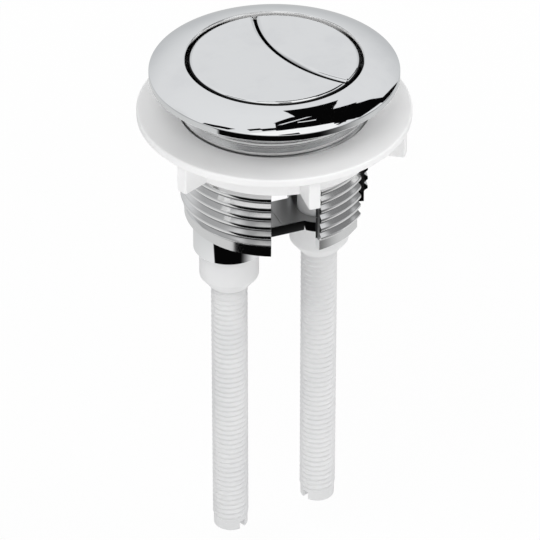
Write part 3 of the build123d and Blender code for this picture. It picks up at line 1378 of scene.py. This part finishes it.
@dataclass
class ReturnSpring(FlushPart):
    """Steel coil round one stem."""

    coil_radius: float = 7.8
    wire_radius: float = 0.5
    low: float = -32.2
    high: float = -13.4
    turns: float = 4.5
    steps_per_turn: int = 48
    wire_sides: int = 12
    seat: float = -32.8
    pressed_share: float = 0.724
    slot: ClassVar[MaterialSlot] = MaterialSlot.SPRING_WIRE
    finish: ClassVar[Finish] = WireFinish("drawn_spring_steel")

    def coil(self) -> Shell:
        """Round wire along a helix: each ring of points stands square to the helix's direction.

        Returns:
            The closed shell.
        """
        a = np.linspace(0.0, FULL_TURN * self.turns, round(self.steps_per_turn * self.turns) + 1)
        rise = (self.high - self.low) / a[-1]
        centre = polar(self.coil_radius, a, self.low + rise * a)
        outward = polar(1.0, a, 0.0)
        along = polar(self.coil_radius, a + np.pi / 2, rise)
        along /= np.linalg.norm(along, axis=1, keepdims=True)
        upward = np.cross(along, outward)
        b = np.linspace(0.0, FULL_TURN, self.wire_sides, endpoint=False)[:, None, None]
        skin = centre + self.wire_radius * (np.cos(b) * outward + np.sin(b) * upward)
        ends = np.broadcast_to(centre[None], skin.shape)
        return Shell.grid(np.concatenate([ends[:, :1], skin, ends[:, -1:]], axis=1), wrap_rows=True)

    def build(self) -> None:
        """Makes the coil."""
        coil = self.coil().moved((self.x, 0.0, 0.0))
        piece = make_piece(self.named("coil"), [coil], "body", self.named("spring"))
        joint = self.named("press")
        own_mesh(piece)
        self.pieces = [piece]


@dataclass
class Backnut(SubAssembly):
    """White nut that clamps the lid: a flat flange, a collar below it and ribs between them."""

    bore: float = 28.1
    collar_radius: float = 30.6
    flange_radius: float = 40.25
    top: float = -10.4
    flange_thickness: float = 2.5
    height: float = 11.6
    segments: int = 192
    rib_count: int = 6
    rib_thickness: float = 3.5
    rib_edge: float = 0.35
    rib_inset: float = 0.95
    rib_root: float = 1.2
    rib_overlap: float = 0.3
    rib_turn: float = -94.8
    slot: ClassVar[MaterialSlot] = MaterialSlot.WHITE_NUT
    # Paler than the other white plastics: partly its own whiter plastic, partly painted light lifting
    # the bezel's shade
    finish: ClassVar[Finish] = MouldedFinish(
        "moulded_nut_plastic",
        pale=(0.97, 0.97, 0.97),
        cloud=(0.94, 0.94, 0.943),
        grain=1.2e-5,
        grains_per_metre=1100.0,
    )

    def build(self) -> None:
        """Makes the turned nut and its ribs as one piece."""
        bottom, under = self.top - self.height, self.top - self.flange_thickness
        corners = [
            (self.bore, bottom, 0.3),
            (self.collar_radius, bottom, 0.4),
            (self.collar_radius, under, 0.4),
            (self.flange_radius, under, 0.5),
            (self.flange_radius, self.top, 0.6),
            (self.bore, self.top, 0.3),
        ]
        start, end = self.collar_radius - self.rib_root, self.flange_radius - self.rib_inset
        high = under + self.rib_overlap
        rib = block(end - start, self.rib_thickness, bottom, high, self.rib_edge)
        rib = rib.moved(((start + end) / 2, 0.0, 0.0))
        turns = self.rib_turn + np.arange(self.rib_count) * 360.0 / self.rib_count
        shells = [turned(rounded(corners), self.segments), *(rib.moved(turn=turn) for turn in turns)]
        self.pieces = [make_piece("ribbed_backnut", shells, "backnut", "backnut")]


# Studio


@dataclass(frozen=True)
class Card:
    """Card overhead that the plate mirrors, as spans in degrees from straight above the object.

    Attributes:
        across: Span towards +X, halfway along the card.
        along: Span towards +Y.
        lean: Shift towards +X for each degree towards +Y.
        soft: Half width of its soft edges.
    """

    across: Span
    along: Span
    lean: float = 0.0
    soft: float = 0.15

    def mask(self, across: Wire, along: Wire) -> Wire:
        """Band along the card times a band across it, which shifts with the lean.

        Args:
            across: Degrees towards +X.
            along: Degrees towards +Y.

        Returns:
            1 on the card and 0 beside it.
        """
        middle = sum(self.along) / 2
        upright = across - self.lean * (along - middle)
        return upright.band(*self.across, self.soft) * along.band(*self.along, self.soft)


@dataclass(frozen=True)
class Flag:
    """Cloth round the object that darkens what the plate mirrors, as spans in degrees.

    Attributes:
        shade: How dark it makes it, at most 1.
        left: Headings from the front between which it sets in.
        right: Headings between which it ends.
        foot: Heights between which it sets in.
        head: Heights between which it ends.
    """

    shade: float
    left: Span
    right: Span
    foot: Span
    head: Span

    def mask(self, heading: Wire, height: Wire) -> Wire:
        """Its shade on the cloth and 0 beside it."""
        across = heading.step(*self.left) * (1 - heading.step(*self.right))
        return self.shade * across * height.step(*self.foot) * (1 - height.step(*self.head))


def stand(thing: bpy.types.Object, place: Vector, direction: Vector) -> None:
    """Stands a camera or lamp at a place and turns its -Z axis to a direction.

    Args:
        thing: The camera or lamp.
        place: Where it stands, in metres.
        direction: Where it looks.
    """
    thing.location = place
    thing.rotation_mode = "QUATERNION"
    thing.rotation_quaternion = direction.to_track_quat("-Z", "Y")


@dataclass
class Studio:
    """Pale floor, white surroundings with dark flags for the plate to mirror, lamps and camera."""

    floor_height: float = -174.0
    floor_rings: tuple[float, ...] = (3000.0, 1000.0, 400.0, 150.0, 60.0, 0.0)
    floor_segments: int = 96
    elevation: float = 34.2
    azimuth: float = -22.0
    distance: float = 1300.0
    lens: float = 290.0
    sensor_width: float = 36.0
    clip: Span = (0.05, 20.0)
    aim: tuple[float, float, float] = (-1.17, 0.47, -68.4)
    soft_light: float = 0.50
    black: float = 0.002
    front_heading: float = -112.0
    waver: float = 1.2
    wavers: float = 9.0
    dark_flag: Flag = Flag(1.0, (-55, -51), (41, 98), (-81.5, -78.5), (10.5, 13.5))
    dim_flags: tuple[Flag, ...] = (
        Flag(0.5, (-126, -98), (48, 76), (5, 15), (43, 53)),
        Flag(0.6, (-62, -38), (33, 57), (9, 15), (55, 61)),
    )
    dark_cards: tuple[Card, ...] = (
        Card((2.7, 38), (-1, 11.5), lean=0.36),
        Card((8.3, 40), (11, 18.6), lean=1.1),
        Card((20, 46.4), (-0.5, 18.4), lean=0.82),
        Card((24, 34), (15, 20)),
        Card((13.8, 25.3), (15, 32), lean=0.1),
        Card((53.2, 58.4), (13, 34), lean=0.66),
        Card((28.4, 30.4), (-5.2, 0.5), lean=1.0),
        Card((25.2, 31), (-3, 0.5)),
        Card((-10, -4), (2.3, 5)),
        Card((-5, 3), (0.3, 4)),
        Card((-24, -19.5), (7, 18), lean=-0.9),
        Card((-1, 8.5), (-14, -7.5)),
    )
    glint_cards: tuple[Card, ...] = (
        Card((10.2, 12), (7.6, 15.2), lean=1.54),
        Card((12, 18.6), (8, 9.3)),
    )
    bright_card: Card = Card((-28, 27), (-28, -1))
    grey_cards: tuple[Card, ...] = (
        Card((36, 80), (-40, -5), soft=4.0),
        Card((64, 95), (-10, 16), soft=4.0),
    )
    grey_shade: float = 0.72
    # Level of the surroundings from straight below (0) to straight overhead (1)
    level_stops: tuple[tuple[float, Colour], ...] = (
        (0.15, (1.0, 1.0, 1.0)),
        (0.25, (0.80, 0.80, 0.80)),
        (0.31, (0.63, 0.635, 0.635)),
        (0.38, (0.54, 0.545, 0.55)),
        (0.48, (0.55, 0.56, 0.57)),
        (0.53, (0.59, 0.60, 0.61)),
        (0.66, (0.745, 0.75, 0.76)),
        (0.87, (0.795, 0.80, 0.81)),
    )
    # Name, place in metres and watts of each square lamp, and the side of its square
    lamps: tuple[tuple[str, tuple[float, float, float], float], ...] = (
        ("key_lamp", (-0.6, -0.5, 0.9), 4.7),
        ("fill_lamp", (0.8, -0.2, 0.7), 4.1),
        ("front_lamp", (-0.3, -1.0, 0.0), 2.5),
        ("back_lamp", (0.3, 1.0, 0.3), 2.8),
    )
    lamp_size: float = 0.8

    def build_camera(self) -> None:
        """Camera on a long lens at the photograph's angle, aimed at the middle of the object."""
        a, e = math.radians(self.azimuth), math.radians(self.elevation)
        back = Vector((math.sin(a) * math.cos(e), -math.cos(a) * math.cos(e), math.sin(e)))
        data = bpy.data.cameras.new("camera")
        data.lens, data.sensor_width = self.lens, self.sensor_width
        data.clip_start, data.clip_end = self.clip
        camera = linked("camera", data)
        stand(camera, (Vector(self.aim) + back * self.distance) * METRES_PER_MM, -back)
        bpy.context.scene.camera = camera

    def build_world(self) -> None:
        """White for the camera, even grey for soft light, and the studio with its cards for plate."""
        world = bpy.data.worlds.new("studio")
        bpy.context.scene.world = world
        world.use_nodes = True
        bench = Bench(world.node_tree)
        direction = bench.node("ShaderNodeTexCoord", output="Generated")
        x, y, z = bench.axes(direction)
        degrees = 180 / math.pi
        height = z.math("ARCSINE", z) * degrees
        front = math.radians(self.front_heading)
        c, s = math.cos(front), math.sin(front)
        heading = y.math("ARCTAN2", y * c - x * s, x * c + y * s) * degrees
        ragged = self.waver * (bench.noise(direction, self.wavers, detail=3.0) - 0.5)
        spread = (90 - height) / x.math("SQRT", x * x + y * y).larger(ZENITH_GUARD)
        across, along = x * spread + ragged, y * spread + ragged
        dark = self.dark_flag.mask(heading, height)
        for card in self.dark_cards:
            dark = dark.larger(card.mask(across, along))
        for card in self.glint_cards:
            dark = dark * (1 - card.mask(across, along))
        for flag in self.dim_flags:
            dark = dark.larger(flag.mask(heading, height))
        for card in self.grey_cards:
            dark = dark.larger(self.grey_shade * card.mask(across, along))
        stops = {"stops": self.level_stops}
        level = bench.node("ShaderNodeValToRGB", stops, {0: height / 180.0 + 0.5})
        seen_in_plate = bench.mix(self.bright_card.mask(across, along), level, WHITE)
        seen_in_plate = bench.mix(dark, seen_in_plate, grey(self.black))
        camera_ray, mirror_ray = bench.rays()
        colour = bench.mix(mirror_ray, grey(self.soft_light), seen_in_plate)
        colour = bench.mix(camera_ray, colour, WHITE)
        background = bench.node("ShaderNodeBackground", {}, {"Color": colour, "Strength": 1.0})
        bench.node("ShaderNodeOutputWorld", {}, {"Surface": background})

    def build_floor(self) -> None:
        """Pale disc under the rods, which mirrors don't show."""
        profile = np.array([(radius, self.floor_height) for radius in self.floor_rings])
        points, four, three = turned(profile, self.floor_segments, closed=False).welded()
        mesh = bpy.data.meshes.new("floor")
        mesh.from_pydata(points * METRES_PER_MM, [], four.tolist() + three.tolist())
        mesh.materials.append(FloorFinish("pale_floor").material())
        floor = linked("floor", mesh)
        floor.visible_glossy = False

    def build_lamps(self) -> None:
        """Square soft lamps aimed at the middle of the object, which mirrors don't show."""
        for name, place, power in self.lamps:
            data = bpy.data.lights.new(name, "AREA")
            data.size, data.energy = self.lamp_size, power
            lamp = linked(name, data)
            stand(lamp, Vector(place), Vector(self.aim) * METRES_PER_MM - Vector(place))
            lamp.visible_glossy = False

    def build(self) -> None:
        """Sets up the camera, the surroundings, the floor and the lamps."""
        bpy.context.scene.view_settings.view_transform = "Standard"
        self.build_camera()
        self.build_world()
        self.build_floor()
        self.build_lamps()


def main() -> None:
    """Builds and dresses the sub-assemblies in order, then the studio."""
    logging.basicConfig(level=logging.INFO, format="%(name)s: %(message)s")
    full, half = FlushSide.FULL, FlushSide.HALF
    assemblies: list[SubAssembly] = [
        PlatedBody(),
        ButtonCap(full),
        ButtonCap(half),
        Plunger(full),
        Plunger(half, collar_end=-59.7, socket_top=-24.0),
        ThreadedRod(full),
        ThreadedRod(half, end=-155.2, slot_turn=23.0),
        ReturnSpring(full),
        ReturnSpring(half),
        Backnut(),
    ]
    for assembly in assemblies:
        assembly.build()
        assembly.dress()
    Studio().build()


if __name__ == "__main__":
    main()
